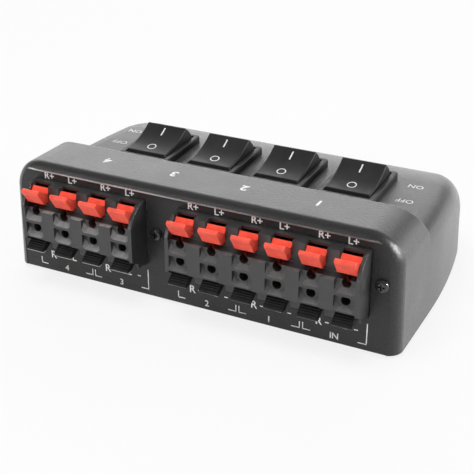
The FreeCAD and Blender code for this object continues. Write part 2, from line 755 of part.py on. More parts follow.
def push_lever(x, side):
    """Push lever: slanted plate, finger lip, hub with pivot pins, wire gate and lifting arms."""
    def solid(outline, x_start, x_end):
        return block_prism([(proud, side * height) for proud, height in outline], x + x_start, x + x_end)

    half = lever_width / 2
    run = (lever_outer_end[0] - lever_outer_top[0], lever_outer_end[1] - lever_outer_top[1])
    length = math.hypot(run[0], run[1])
    inward = (run[1] / length * lever_plate, -run[0] / length * lever_plate)
    inner_top = (lever_outer_top[0] + inward[0], lever_outer_top[1] + inward[1])
    end_h = lever_outer_end[1] if side > 0 else lever_short_end_h
    outer_share = (end_h - lever_outer_top[1]) / run[1]
    inner_share = (end_h - inner_top[1]) / run[1]
    outer_end = (lever_outer_top[0] + run[0] * outer_share, end_h)
    inner_end = (inner_top[0] + run[0] * inner_share, end_h)
    plate = [lever_outer_top, outer_end, inner_end, inner_top]
    pivot = V(x, face_y - lever_pivot[0], block_mid_z + side * lever_pivot[1])
    web_start = (lever_pivot[0] + web_hub_shift[0], lever_pivot[1] + lever_hub_radius + web_hub_shift[1])
    web = [web_start, web_top, web_foot, (gate_front, lever_pivot[1] + web_gate_rise), lever_pivot]
    gate_top = lever_pivot[1] + gate_overlap
    gate = [(gate_front, gate_top), (gate_front, gate_foot_h),
            (gate_front - gate_thickness, gate_foot_h), (gate_front - gate_thickness, gate_top)]
    lip, tip_centre = lip_outline(lever_outer_end if side > 0 else lip_foot)
    pieces = [solid(web, -half, half), solid(gate, -half, half), solid(lip, -half, half)]
    tip = V(x - half, face_y - tip_centre[0], block_mid_z + side * tip_centre[1])
    pieces.append(cylinder(fin_thickness / 2, tip, X_AXIS, lever_width))
    pieces.append(cylinder(lever_hub_radius, pivot - X_AXIS * half, X_AXIS, lever_width))
    pieces.append(cylinder(lever_pin_radius, pivot - X_AXIS * (half + lever_pin_reach), X_AXIS,
                           lever_width + 2 * lever_pin_reach))
    rise = arm_thickness / 2
    arm = [lever_pivot, (lever_pivot[0] + arm_elbow[0], lever_pivot[1] + arm_elbow[1]),
           (arm_tip[0], arm_tip[1] - rise), (arm_tip[0], arm_tip[1] + rise)]
    pieces.append(solid(arm, -half, arm_width - half))
    pieces.append(solid(arm, half - arm_width, half))
    bar = V(x - half, face_y - arm_tip[0], block_mid_z + side * arm_tip[1])
    pieces.append(cylinder(rise, bar, X_AXIS, lever_width))
    lever = solid(plate, -half, half).fuse(pieces)
    gate_hole = V(x, face_y - gate_front - overcut, block_mid_z + side * port_height)
    lever = lever.cut(cylinder(gate_hole_radius, gate_hole, Y_AXIS, gate_thickness + 2 * overcut))
    return lever.removeSplitter()


# ---------------------------------------------------------------- rocker switches
def switch_case():
    """Snap-in case and bezel of a rocker switch, in the panel's frame."""
    bezel = rounded_box(bezel_width, bezel_length, bezel_height, bezel_corner_radius, 0)
    top_edges = [edge for edge in bezel.Edges if edge.BoundBox.ZMin > bezel_height - tiny]
    bezel = bezel.makeFillet(bezel_edge_radius, top_edges)
    case = rounded_box(switch_case_width, switch_case_length, switch_case_depth,
                       bezel_corner_radius, -switch_case_depth)
    solid = bezel.fuse(case)
    half_cavity = (switch_cavity_width / 2, switch_cavity_length / 2)
    cavity = box((-half_cavity[0], half_cavity[0]), (-half_cavity[1], half_cavity[1]),
                 (-switch_cavity_depth, bezel_height + overcut))
    pivot_z = bezel_height - rocker_pivot_depth
    reach = rocker_width / 2 + rocker_pin_reach + pin_clearance
    bore = cylinder(rocker_pin_radius + pin_clearance, V(-reach, 0, pivot_z), X_AXIS, 2 * reach)
    slots = [switch_tag_blank(x, y) for x, y in switch_tag_places()]
    solid = solid.cut([cavity, bore] + slots)
    clips = []
    for side in (1, -1):
        outer = side * switch_case_width / 2
        for y in (-clip_spread / 2, clip_spread / 2):
            corners = [V(outer, y, -wall - clip_gap), V(outer + side * clip_proud, y, -wall - clip_gap),
                       V(outer, y, -wall - clip_gap - clip_height)]
            wedge = Part.Face(Part.makePolygon(corners + corners[:1])).extrude(V(0, clip_width, 0))
            wedge.translate(V(0, -clip_width / 2, 0))
            clips.append(wedge)
    return solid.fuse(clips).removeSplitter()


def switch_tag_places():
    """Four solder tags under a switch, two for each pole."""
    x = switch_tag_spread_x / 2
    y = switch_tag_spread_y / 2
    return [(-x, -y), (x, -y), (-x, y), (x, y)]


def switch_tag_blank(x, y):
    """One solder tag without its eye, set in the case's floor."""
    top = -switch_cavity_depth - switch_tag_root
    bottom = -switch_case_depth - switch_tag_length
    return box((x - switch_tag_width / 2, x + switch_tag_width / 2),
               (y - switch_tag_thickness / 2, y + switch_tag_thickness / 2), (bottom, top))


def switch_tag(x, y):
    """One solder tag with its eye."""
    eye = V(x, y - switch_tag_thickness, switch_tag_width - switch_case_depth - switch_tag_length)
    return switch_tag_blank(x, y).cut(cylinder(switch_tag_hole, eye, Y_AXIS, 2 * switch_tag_thickness))


def rocker():
    """Concave rocker with end faces rounded about its pivot pins, tipped to OFF."""
    half_chord = rocker_chord / 2
    top = math.sqrt(rocker_radius ** 2 - half_chord ** 2)
    top_angle = math.degrees(math.atan2(top, half_chord))
    corner = polar((0, 0), rocker_radius, top_angle)
    side = polar((0, 0), rocker_radius, (top_angle + rocker_skirt_angle) / 2)
    foot = polar((0, 0), rocker_radius, rocker_skirt_angle)
    x_start = -rocker_width / 2
    right = [V(x_start, y, z) for y, z in (corner, side, foot)]
    left = [V(x_start, -y, z) for y, z in (corner, side, foot)]
    edges = [
        Part.Arc(left[0], V(x_start, 0, top - rocker_sag), right[0]),
        Part.Arc(right[0], right[1], right[2]),
        Part.LineSegment(right[2], left[2]),
        Part.Arc(left[2], left[1], left[0]),
    ]
    profile = Part.Face(Part.Wire([edge.toShape() for edge in edges]))
    body = profile.extrude(V(rocker_width, 0, 0))
    rim = []
    for edge in body.Edges:
        middle = edge.valueAt((edge.FirstParameter + edge.LastParameter) / 2)
        on_side = abs(abs(middle.x) - rocker_width / 2) < tiny
        on_top = middle.z > top - rocker_sag - pin_clearance
        if on_top or (on_side and foot[1] / 2 < middle.z < top):
            rim.append(edge)
    body = body.makeFillet(rocker_edge_radius, rim)
    reach = rocker_width / 2 + rocker_pin_reach
    body = body.fuse(cylinder(rocker_pin_radius, V(-reach, 0, 0), X_AXIS, 2 * reach)).removeSplitter()
    body.rotate(V(0, 0, 0), X_AXIS, rocker_tilt)
    body.translate(V(0, 0, bezel_height - rocker_pivot_depth))
    return body


# ---------------------------------------------------------------- inside wiring
def wire(points, radius, bend):
    """Round wire along straight runs joined by tangent arcs."""
    points = [V(*point) for point in points]
    edges = []
    start = points[0]
    for before, corner, after in zip(points, points[1:], points[2:]):
        arrive = (corner - before).normalize()
        leave = (after - corner).normalize()
        turn = arrive.getAngle(leave)
        setback = bend * math.tan(turn / 2)
        arc_start = corner - arrive * setback
        arc_end = corner + leave * setback
        towards = (leave - arrive).normalize()
        centre = corner + towards * (bend / math.cos(turn / 2))
        edges.append(Part.LineSegment(start, arc_start).toShape())
        edges.append(Part.Arc(arc_start, centre - towards * bend, arc_end).toShape())
        start = arc_end
    edges.append(Part.LineSegment(start, points[-1]).toShape())
    path = Part.Wire(edges)
    ring = Part.Wire([Part.makeCircle(radius, points[0], points[1] - points[0])])
    return path.makePipeShell([ring], True, False)


def tag_end(x, side):
    """Outer end of a contact tag behind a terminal block."""
    return (x, block_back_y + back_plate_thickness + tag_length, block_mid_z + side * tag_h)


def switch_tag_end(switch_x, place, shift):
    """Lower end of a switch tag, moved sideways along the tag by shift."""
    lean = math.radians(panel_rise)
    depth = switch_case_depth + switch_tag_length + solder_gap
    y = rocker_row_y + place[1] * math.cos(lean) + depth * math.sin(lean)
    z = panel_z + place[1] * math.sin(lean) - depth * math.cos(lean)
    return (switch_x + place[0] + shift, y, z)


def speaker_wires(switch_x, column_places):
    """Two wires from a speaker's plus tags to the near tags of its switch."""
    wires = []
    for x, place in zip(column_places, switch_tag_places()[:2]):
        start = tag_end(x, 1)
        end = switch_tag_end(switch_x, place, 0)
        turn_y = start[1] + wire_first_run
        route = [start, (x, turn_y, start[2]), (x, turn_y, wire_floor_z), (end[0], end[1], wire_floor_z), end]
        wires.append(wire(route, wire_radius, wire_bend))
    return wires


def lane_route(place, lane, switch_x, shift):
    """Points from a switch tag's end down to a wire lane that runs along the row."""
    end = switch_tag_end(switch_x, place, shift)
    lane_y = end[1] + lane
    return [end, (end[0], end[1], end[2] - lane_drop), (end[0], lane_y, lane_z)]


def amplifier_wires():
    """Feeds from the amplifier's plus tags, with jumpers along the far tags of all switches."""
    feed_columns = block_columns(right_block_x, right_block_columns)[-2:]
    far_tags = switch_tag_places()[2:]
    places = rocker_places()
    wires = []
    for feed_x, place, lane in zip(feed_columns, far_tags, (-lane_offset, lane_offset)):
        for left_x, right_x in zip(places, places[1:]):
            down = lane_route(place, lane, left_x, wire_pair_shift)
            up = lane_route(place, lane, right_x, -wire_pair_shift)
            wires.append(wire(down + up[::-1], wire_radius, wire_bend / 2))
        start = tag_end(feed_x, 1)
        turn_y = start[1] + wire_first_run
        last = lane_route(place, lane, places[-1], wire_pair_shift)
        route = [start, (feed_x, turn_y, start[2]), (feed_x, turn_y, lane_z), (feed_x, last[2][1], lane_z)]
        wires.append(wire(route + last[::-1], wire_radius, wire_bend / 2))
    return wires


def common_bus():
    """Bare wire that joins all the minus tags."""
    start = tag_end(left_block_x - tag_width / 2, -1)
    end_x = block_columns(right_block_x, right_block_columns)[-1] + tag_width / 2
    return cylinder(bus_radius, V(start[0], start[1] + bus_radius, start[2]), X_AXIS, end_x - start[0])


def build():
    """Write every node of the assembly."""
    os.makedirs("parts", exist_ok=True)
    write(housing_shell(), "housing_shell")
    write(bottom_cover(), "bottom_cover")
    write(Part.Compound([rubber_foot(x, y) for x, y in foot_places]), "rubber_feet")
    write(Part.Compound([cover_screw(x, y) for x, y in screw_boss_places]), "cover_screws")
    blocks = (("left", left_block_x, left_block_columns), ("right", right_block_x, right_block_columns))
    lever_number = 0
    block_screws = []
    for name, first_x, columns in blocks:
        write(terminal_block(first_x, columns), "%s_terminal_block" % name)
        write(back_plate(first_x, columns), "%s_back_plate" % name)
        springs = [contact_spring(x, side) for x in block_columns(first_x, columns) for side in (1, -1)]
        write(Part.Compound(springs), "%s_contact_springs" % name)
        block_screws += [block_screw(x, z) for x, z in block_screw_places(first_x, columns)]
        for x in block_columns(first_x, columns):
            lever_number += 1
            write(push_lever(x, 1), "plus_lever_%02d" % lever_number)
            write(push_lever(x, -1), "minus_lever_%02d" % lever_number)
    write(Part.Compound(block_screws), "terminal_screws")
    all_columns = [x for name, first_x, columns in blocks for x in block_columns(first_x, columns)]
    for index, x in enumerate(rocker_places()):
        number = index + 1
        write(on_panel(switch_case(), x), "switch_case_%d" % number)
        write(on_panel(rocker(), x), "rocker_%d" % number)
        tags = [on_panel(switch_tag(place_x, y), x) for place_x, y in switch_tag_places()]
        write(Part.Compound(tags), "switch_tags_%d" % number)
        pair = all_columns[2 * index:2 * index + 2]
        write(Part.Compound(speaker_wires(x, pair)), "speaker_wires_%d" % number)
    write(Part.Compound(amplifier_wires()), "amplifier_wires")
    write(common_bus(), "common_bus_wire")


build()
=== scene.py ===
# %% [markdown]
# # A speaker selector switch
#
# This lesson dresses a small console box: four rocker switches on a sloped panel, and two
# banks of sprung push terminals on the face behind them.  The solids are finished already,
# so the work here is finishes, printed marks, light and a camera.
#
# Everything is in metres.  +Z is up, the terminal face looks along -Y, and the person who
# uses the switches sits at +Y.

# %% load the finished solids
import math

import bpy
import bmesh
from mathutils import Matrix, Vector
from mathutils.bvhtree import BVHTree


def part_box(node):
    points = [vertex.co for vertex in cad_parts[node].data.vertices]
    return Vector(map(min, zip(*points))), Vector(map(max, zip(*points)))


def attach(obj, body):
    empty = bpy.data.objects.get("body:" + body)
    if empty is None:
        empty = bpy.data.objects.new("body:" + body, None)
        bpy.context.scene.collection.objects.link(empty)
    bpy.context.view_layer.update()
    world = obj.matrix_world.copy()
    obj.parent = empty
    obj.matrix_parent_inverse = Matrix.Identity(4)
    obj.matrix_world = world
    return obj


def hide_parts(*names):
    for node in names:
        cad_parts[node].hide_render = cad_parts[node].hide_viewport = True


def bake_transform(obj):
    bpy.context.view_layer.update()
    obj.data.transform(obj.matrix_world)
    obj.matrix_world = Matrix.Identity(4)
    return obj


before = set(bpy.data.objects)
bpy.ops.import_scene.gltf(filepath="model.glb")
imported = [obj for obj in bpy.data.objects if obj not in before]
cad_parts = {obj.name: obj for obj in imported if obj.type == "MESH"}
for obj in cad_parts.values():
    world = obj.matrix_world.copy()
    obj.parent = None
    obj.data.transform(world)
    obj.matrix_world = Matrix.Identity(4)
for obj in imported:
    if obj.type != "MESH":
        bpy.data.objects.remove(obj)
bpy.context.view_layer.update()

# %% [markdown]
# ## Places that the finishes and prints need
#
# Rather than typing numbers again, the script asks the solids where they are.  The housing
# tells where the face and the hood's top are, the switch cases tell where the rocker row
# is, and the plus levers tell where the columns of terminals stand.


# %% measure the landmarks
def middle(node, axis):
    """Middle of a solid's box along an axis: 0 is X, 1 is Y and 2 is Z."""
    low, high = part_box(node)
    return (low[axis] + high[axis]) / 2


SWITCHES = (1, 2, 3, 4)
COLUMNS = range(1, 11)
housing_low, housing_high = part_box("housing_shell")
face_y = housing_low[1]
hood_top = housing_high[2]
row_y = middle("switch_case_1", 1)
switch_x = {number: middle("switch_case_%d" % number, 0) for number in SWITCHES}
column_x = {number: middle("plus_lever_%02d" % number, 0) for number in COLUMNS}
print("terminal face at y", round(face_y, 4), "rocker row at y", round(row_y, 4))
print("columns at x", [round(x, 4) for x in column_x.values()])

# %% [markdown]
# ## Camera
#
# A small product is often taken with a short telephoto lens from a step or so away, which
# keeps its parallel edges nearly parallel.  This camera looks down at the right-hand end
# of the terminal face.  Cameras and lamps both look along their own -Z, so one helper aims
# them all.


# %% place the camera
def add_object(name, data):
    """New object at the origin, linked into the scene."""
    thing = bpy.data.objects.new(name, data)
    bpy.context.scene.collection.objects.link(thing)
    return thing


def aim(thing, place, target):
    """Put a camera or a lamp at a place and turn it towards a target."""
    thing.location = place
    look = Vector(target) - Vector(place)
    thing.rotation_euler = look.to_track_quat("-Z", "Y").to_euler()


camera_data = bpy.data.cameras.new("camera")
camera_data.lens = 80.2
camera_data.sensor_width = 36.0
camera_data.clip_start = 0.01
camera = add_object("camera", camera_data)
camera_target = Vector((0.02087, face_y, 0.03861))
aim(camera, (0.18973, face_y - 0.33422, 0.22347), camera_target)
bpy.context.scene.camera = camera
bpy.context.scene.view_settings.view_transform = "Standard"
print("camera is", round((camera_target - camera.location).length, 3), "m from its target")

# %% [markdown]
# ## A small language for node materials
#
# Every finish here is built from the same few steps: a noise at the right scale, a ramp
# that turns it into a mask, and a bump.  These helpers keep each recipe down to the lines
# that matter.  Object coordinates are used all over, because each solid's object sits at
# the origin, so they are simply metres on the object.  Some masks go by place, such as a
# height on the object, and some by the way a surface faces.


# %% node helpers
class Recipe:
    """One node material under construction."""

    def __init__(self, name):
        self.material = bpy.data.materials.new(name)
        self.material.use_nodes = True
        self.tree = self.material.node_tree
        self.shader = self.tree.nodes["Principled BSDF"]
        self.place = self.tree.nodes.new("ShaderNodeTexCoord").outputs["Object"]

    def link(self, source, target):
        self.tree.links.new(source, target)

    def shade(self, **values):
        """Set plain numbers and colours on the shader's own sockets."""
        for words, value in values.items():
            self.shader.inputs[words.replace("_", " ")].default_value = value

    def noise(self, size, detail=2.0, stretch=(1, 1, 1), rough=0.5):
        """Noise whose blobs are about size metres across."""
        mapping = self.tree.nodes.new("ShaderNodeMapping")
        mapping.inputs["Scale"].default_value = stretch
        self.link(self.place, mapping.inputs["Vector"])
        node = self.tree.nodes.new("ShaderNodeTexNoise")
        node.inputs["Scale"].default_value = 1.0 / size
        node.inputs["Detail"].default_value = detail
        node.inputs["Roughness"].default_value = rough
        self.link(mapping.outputs["Vector"], node.inputs["Vector"])
        return node.outputs["Fac"]

    def cells(self, size):
        """Distance to the nearest of scattered points, about size metres apart."""
        node = self.tree.nodes.new("ShaderNodeTexVoronoi")
        node.inputs["Scale"].default_value = 1.0 / size
        self.link(self.place, node.inputs["Vector"])
        return node.outputs["Distance"]

    def span(self, value, low, high, out_low=0.0, out_high=1.0):
        """Map a value's range to another one, clamped."""
        node = self.tree.nodes.new("ShaderNodeMapRange")
        node.inputs["From Min"].default_value = low
        node.inputs["From Max"].default_value = high
        node.inputs["To Min"].default_value = out_low
        node.inputs["To Max"].default_value = out_high
        self.link(value, node.inputs["Value"])
        return node.outputs["Result"]

    def maths(self, operation, first, second):
        """One maths node on two values, each a socket or a number."""
        node = self.tree.nodes.new("ShaderNodeMath")
        node.operation = operation
        for value, socket in zip((first, second), node.inputs):
            if isinstance(value, (int, float)):
                socket.default_value = value
            else:
                self.link(value, socket)
        return node.outputs["Value"]

    def blend(self, mask, first, second):
        """Colour that goes from first to second with a mask."""
        node = self.tree.nodes.new("ShaderNodeMix")
        node.data_type = "RGBA"
        self.link(mask, node.inputs["Factor"])
        colours = {entry.name: entry for entry in node.inputs if entry.type == "RGBA"}
        for value, socket in ((first, colours["A"]), (second, colours["B"])):
            if isinstance(value, tuple):
                socket.default_value = value
            else:
                self.link(value, socket)
        return [entry for entry in node.outputs if entry.type == "RGBA"][0]

    def feeding(self, name):
        """What is linked to one of the shader's sockets so far, or None."""
        links = self.shader.inputs[name].links
        return links[0].from_socket if links else None

    def part(self, vector, axis):
        """One component of a vector."""
        node = self.tree.nodes.new("ShaderNodeSeparateXYZ")
        self.link(vector, node.inputs["Vector"])
        return node.outputs[axis]

    def colour(self, source):
        self.link(source, self.shader.inputs["Base Color"])

    def roughness(self, source):
        self.link(source, self.shader.inputs["Roughness"])

    def bevelled(self, radius):
        """The surface's normal as if its sharp edges had a small radius."""
        node = self.tree.nodes.new("ShaderNodeBevel")
        node.samples = 6
        node.inputs["Radius"].default_value = radius
        return node.outputs["Normal"]

    def soft_edges(self, radius):
        """Let sharp edges catch the light as if they had a small radius."""
        self.link(self.bevelled(radius), self.shader.inputs["Normal"])

    def edge_highlight_mask(self, radius, first, second):
        """Mask of level edges for a painted highlight, where a bevelled normal tips from the
        true one.
        """
        bevelled = self.bevelled(radius)
        true_normal = self.tree.nodes.new("ShaderNodeNewGeometry").outputs["Normal"]
        tip = self.maths("SUBTRACT", self.part(bevelled, "Z"), self.part(true_normal, "Z"))
        return self.span(self.maths("ABSOLUTE", tip, 0.0), first, second)

    def along(self, axis, low, high, first=0.0, second=1.0):
        """Mask by place: it goes from first to second between two places on an axis."""
        return self.span(self.part(self.place, axis), low, high, first, second)

    def facing_up(self, low, high):
        """Mask that is 1 where the solid's own surface faces up."""
        true_normal = self.tree.nodes.new("ShaderNodeNewGeometry").outputs["True Normal"]
        return self.span(self.part(true_normal, "Z"), low, high)

    def bump(self, height, depth):
        """Bump of a real depth in metres, chained after any bump before it."""
        node = self.tree.nodes.new("ShaderNodeBump")
        node.inputs["Distance"].default_value = depth
        self.link(height, node.inputs["Height"])
        before = self.feeding("Normal")
        if before is not None:
            self.link(before, node.inputs["Normal"])
        self.link(node.outputs["Normal"], self.shader.inputs["Normal"])


def grey(level, tint=(1.0, 1.0, 1.0)):
    """Linear colour of a grey level with a slight tint."""
    return (level * tint[0], level * tint[1], level * tint[2], 1.0)


def wear(node_names, recipe):
    """Give one finish to several solids."""
    for name in node_names:
        materials = bpy.data.objects[name].data.materials
        materials.clear()
        materials.append(recipe.material)
    print(recipe.material.name, "on", len(node_names), "solids")


# %% [markdown]
# ## Charcoal housing
#
# The housing is moulded in ABS, in a tool with a fine spark-eroded texture.  Such a skin
# is a carpet of tiny pits, a third of a millimetre across, that scatters light widely.
# Pits could be real geometry, but at this size a bump does the same for the eye.  On top
# of it come a faint cloudiness, a few rubbed spots that shine a little more, and dust.
# A thin clear coat stands for the sheen of the skin between the pits, and it follows the
# pits but not the slow waves below them.
#
# A pale line is painted along the sharp edges round the hood's top: a painted highlight
# where those edges would catch the light.  A mask finds the edges by comparing the true
# normal with a bevelled one, and keeps those near the hood's top.  The painted highlight
# is strongest at the left end and at the right-hand corner.


# %% housing finish
def painted_edge_highlight(recipe):
    """Mask of a painted highlight on the hood's top edges, strongest at its left end and right
    corner.
    """
    patches = recipe.span(recipe.noise(0.012, 3.0), 0.3, 0.6, 0.5, 1.0)
    at_the_top = recipe.along("Z", hood_top - 0.0042, hood_top - 0.0037)
    left_end = recipe.along("X", -0.03, 0.03, 1.0, 0.38)
    right_corner = recipe.along("X", 0.078, 0.084, 0.3, 1.0)
    mask = recipe.edge_highlight_mask(0.0011, 0.06, 0.25)
    for limit in (patches, at_the_top, recipe.maths("MAXIMUM", left_end, right_corner)):
        mask = recipe.maths("MULTIPLY", mask, limit)
    return mask


def charcoal_skin():
    """Spark-eroded ABS: cloud, speckle, dust flecks, painted edge highlight, gloss and pits."""
    recipe = Recipe("charcoal_abs")
    recipe.soft_edges(0.0005)
    warm = (1.0, 1.0, 0.985)
    cloud = recipe.span(recipe.noise(0.045, 3.0), 0.35, 0.65)
    speckle = recipe.span(recipe.noise(0.0005, 1.0), 0.3, 0.7)
    flecks = recipe.span(recipe.cells(0.0021), 0.02, 0.05, 0.35, 0.0)
    base = recipe.blend(cloud, grey(0.011, warm), grey(0.015, warm))
    dusty = recipe.blend(speckle, base, grey(0.026))
    flecked = recipe.blend(flecks, dusty, grey(0.12))
    # Painted highlight: the edge mask turns the colour pale grey along the hood's top edges.
    recipe.colour(recipe.blend(painted_edge_highlight(recipe), flecked, grey(0.9)))
    rubbed = recipe.span(recipe.noise(0.018, 4.0), 0.4, 0.7, 0.0, -0.07)
    pits = recipe.span(recipe.noise(0.0009, 2.0), 0.3, 0.7, 0.40, 0.48)
    recipe.roughness(recipe.maths("ADD", pits, rubbed))
    recipe.shade(Specular_IOR_Level=0.2, Sheen_Weight=0.42, Sheen_Roughness=0.4)
    recipe.shade(Coat_Weight=0.35, Coat_Roughness=0.26)
    recipe.bump(recipe.noise(0.00035, 2.0, rough=0.6), 0.00009)
    recipe.bump(recipe.noise(0.0011, 2.0), 0.00009)
    recipe.link(recipe.feeding("Normal"), recipe.shader.inputs["Coat Normal"])
    recipe.bump(recipe.noise(0.012, 1.0), 0.00006)
    return recipe


wear(["housing_shell", "bottom_cover"], charcoal_skin())


# %% [markdown]
# ## Black mouldings
#
# The terminal blocks, the black levers and the switches come from smoother tools than the
# housing.  They differ in gloss: the blocks are plain and a bit streaky from the flow of
# the plastic, the switch parts are satin, and the levers are rubbed by fingers.  One
# function makes all of them, and what is special to each is added afterwards.


# %% smooth plastics
def smooth_plastic(name, dark, light, rough, flow):
    """Plain moulded plastic with flow streaks, fine waviness and a little handling."""
    recipe = Recipe(name)
    recipe.soft_edges(0.0003)
    streaks = recipe.span(recipe.noise(flow, 3.0, (1, 1, 0.25)), 0.3, 0.7)
    recipe.colour(recipe.blend(streaks, dark, light))
    handled = recipe.span(recipe.noise(0.004, 4.0), 0.35, 0.65, rough - 0.05, rough + 0.08)
    recipe.roughness(handled)
    recipe.bump(recipe.noise(0.0006, 2.0), 0.00002)
    recipe.bump(recipe.noise(0.006, 1.0), 0.00004)
    return recipe


def by_bank(recipe, left, right):
    """Value that is left over the left bank and right over the right one."""
    return recipe.along("X", -0.02, 0.0, left, right)


# %% [markdown]
# ### Terminal blocks
#
# Painted light lies in the funnels round the ports: the slopes that face up are painted
# pale, as if lit from above, most of all in the left bank.  The mask is a noise, multiplied
# by limits: one asks which way the surface faces, and the others ask where it is, so that
# no painted light lands on the top bar or in the pockets of the levers.

# %% blocks with painted light on upward slopes
FUNNEL_TOP = 0.0380
pocket_back = face_y - 0.0096
block_finish = smooth_plastic("black_block_plastic", grey(0.026), grey(0.036), 0.38, 0.006)
block_finish.shade(Specular_IOR_Level=0.72)
painted_slope_light = block_finish.span(block_finish.noise(0.0016, 3.0), 0.25, 0.6, 0.6, 1.0)
for limit in (
    block_finish.facing_up(0.2, 0.6),
    block_finish.along("Z", FUNNEL_TOP, FUNNEL_TOP + 0.0005, 1.0, 0.0),
    block_finish.along("Y", pocket_back - 0.0001, pocket_back + 0.0001, 1.0, 0.0),
    by_bank(block_finish, 1.0, 0.35),
):
    painted_slope_light = block_finish.maths("MULTIPLY", painted_slope_light, limit)
block_colour = block_finish.feeding("Base Color")
# Painted light: the upward slopes of the funnels turn pale grey, standing for light from above.
block_finish.colour(block_finish.blend(painted_slope_light, block_colour, grey(0.24)))
wear(["left_terminal_block", "right_terminal_block"], block_finish)

# %% [markdown]
# ### Black levers
#
# A pale line is painted along the levers' very tips: a painted highlight where their lips
# would catch the light.  All the levers hang at the same height, so a mask by height finds
# the tips, and the painted highlight is strongest over the left bank.

# %% levers with a painted highlight on their tips
lever_finish = smooth_plastic("black_lever_plastic", grey(0.007), grey(0.012), 0.42, 0.003)
lever_finish.shade(Specular_IOR_Level=0.2)
tip_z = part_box("minus_lever_01")[0][2]
at_the_tip = lever_finish.along("Z", tip_z + 0.0006, tip_z + 0.0008, 1.0, 0.0)
tip_highlight = lever_finish.maths("MULTIPLY", at_the_tip, by_bank(lever_finish, 0.9, 0.1))
lever_base_colour = lever_finish.feeding("Base Color")
# Painted highlight: the lowest edge of each lever tip turns pale grey.
lever_finish.colour(lever_finish.blend(tip_highlight, lever_base_colour, grey(0.5)))
wear(["minus_lever_%02d" % number for number in COLUMNS], lever_finish)
# The height printed here is where the painted highlight on the tips ends.
print("lever tips painted pale below z", round(tip_z + 0.0008, 4))

# %% [markdown]
# ### Switches
#
# Cases and rockers are the same satin plastic, a little more even than the blocks.

# %% satin switches
switch_finish = smooth_plastic("satin_switch_plastic", grey(0.014), grey(0.02), 0.4, 0.01)
switch_finish.shade(Specular_IOR_Level=0.26)
wear(["switch_case_%d" % number for number in SWITCHES], switch_finish)
wear(["rocker_%d" % number for number in SWITCHES], switch_finish)

# %% [markdown]
# ## Red levers
#
# The plus levers are a bright signal red.  Thin bright plastic glows a little from inside,
# so the recipe adds a shallow subsurface part to the usual streaks.


# %% red finish
def signal_red():
    """Bright red plastic with a glow from about two millimetres down."""
    deep, bright = (0.86, 0.075, 0.04, 1), (0.95, 0.11, 0.06, 1)
    recipe = smooth_plastic("signal_red_plastic", deep, bright, 0.34, 0.003)
    recipe.shade(Subsurface_Weight=0.2, Subsurface_Scale=0.002)
    recipe.shade(Subsurface_Radius=(1.0, 0.25, 0.12))
    return recipe


wear(["plus_lever_%02d" % number for number in COLUMNS], signal_red())

# %% [markdown]
# ## Metal parts
#
# Three metals: steel screws, tinned brass contacts and solder tags, and a bare tinned
# copper bus wire.  A metal's colour lives in its reflection, so what makes each one read is
# its base colour, its roughness and fine scratches along the way it was rolled.  The
# screws wear a black oxide film with a trace of oil, which hides the metal and reflects
# like dark glass, so their recipe is switched to a plain coat.


# %% metals
def metal(name, first, second, rough, scratch):
    """Metal with stains, and with scratches that are long where scratch is small."""
    recipe = Recipe(name)
    stain = recipe.span(recipe.noise(0.003, 4.0), 0.35, 0.65)
    recipe.colour(recipe.blend(stain, first, second))
    lines = recipe.noise(0.0012, 3.0, scratch)
    recipe.roughness(recipe.span(lines, 0.3, 0.7, rough - 0.08, rough + 0.12))
    recipe.shade(Metallic=1.0)
    recipe.bump(lines, 0.00002)
    return recipe


brown_black = grey(0.02, (1, 0.97, 0.94))
screw_finish = metal("blackened_steel", grey(0.012), brown_black, 0.16, (1, 1, 1))
screw_finish.shade(Metallic=0.0, Specular_IOR_Level=0.75)
wear(["terminal_screws", "cover_screws"], screw_finish)
tin, brass = (0.78, 0.75, 0.66, 1), (0.66, 0.6, 0.46, 1)
tinned = metal("tinned_brass", tin, brass, 0.28, (1, 0.08, 1))
wear(["switch_tags_%d" % number for number in SWITCHES], tinned)
copper, pale_copper = (0.8, 0.55, 0.4, 1), (0.72, 0.6, 0.5, 1)
wear(["common_bus_wire"], metal("bare_copper", copper, pale_copper, 0.25, (0.05, 1, 1)))

# %% [markdown]
# ## Contact springs
#
# Behind every lever a thin leaf spring waits for a bared wire.  A pushed lever presses on
# the free end of its leaf, and the leaf bends.  The springs of a block are one rigid solid
# node, which the levers would cut into, so each spring becomes a piece of its own here: a
# copy of its solid, sliced across near the free end so that it has corners to bend at.


# %% springs
HALF_COLUMN = 0.004
SLICES = 9
LEFT_BANK_COLUMNS = 4


def one_spring(node, x, upper):
    """Copy the leaf spring of one lever out of a block's node."""
    middle_z = middle(node, 2)
    leaf = bmesh.new()
    leaf.from_mesh(bpy.data.objects[node].data)
    others = [corner for corner in leaf.verts
              if abs(corner.co.x - x) > HALF_COLUMN or (corner.co.z > middle_z) != upper]
    bmesh.ops.delete(leaf, geom=others, context="VERTS")
    bmesh.ops.remove_doubles(leaf, verts=leaf.verts, dist=0.000001)
    return leaf


def piece_from(flat, name, recipe):
    """Turn a bmesh into an object with one finish."""
    mesh = bpy.data.meshes.new(name)
    flat.to_mesh(mesh)
    flat.free()
    mesh.materials.append(recipe.material)
    return add_object(name, mesh)


def bending_spring(name, node, lever):
    """A leaf spring copied out of a block's node by its lever's column, and sliced across."""
    x = middle(lever, 0)
    leaf = one_spring(node, x, lever.startswith("plus"))
    lip_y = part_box(node)[0][1]
    still_y, moving_y = lip_y + 0.0075, lip_y + 0.0014
    for cut in range(SLICES + 1):
        place = (0, still_y + (moving_y - still_y) * cut / SLICES, 0)
        everything = leaf.verts[:] + leaf.edges[:] + leaf.faces[:]
        bmesh.ops.bisect_plane(leaf, geom=everything, plane_co=place, plane_no=(0, 1, 0))
    piece = piece_from(leaf, name, tinned)
    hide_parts(node)
    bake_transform(piece)
    print(name, "corners", len(piece.data.vertices))


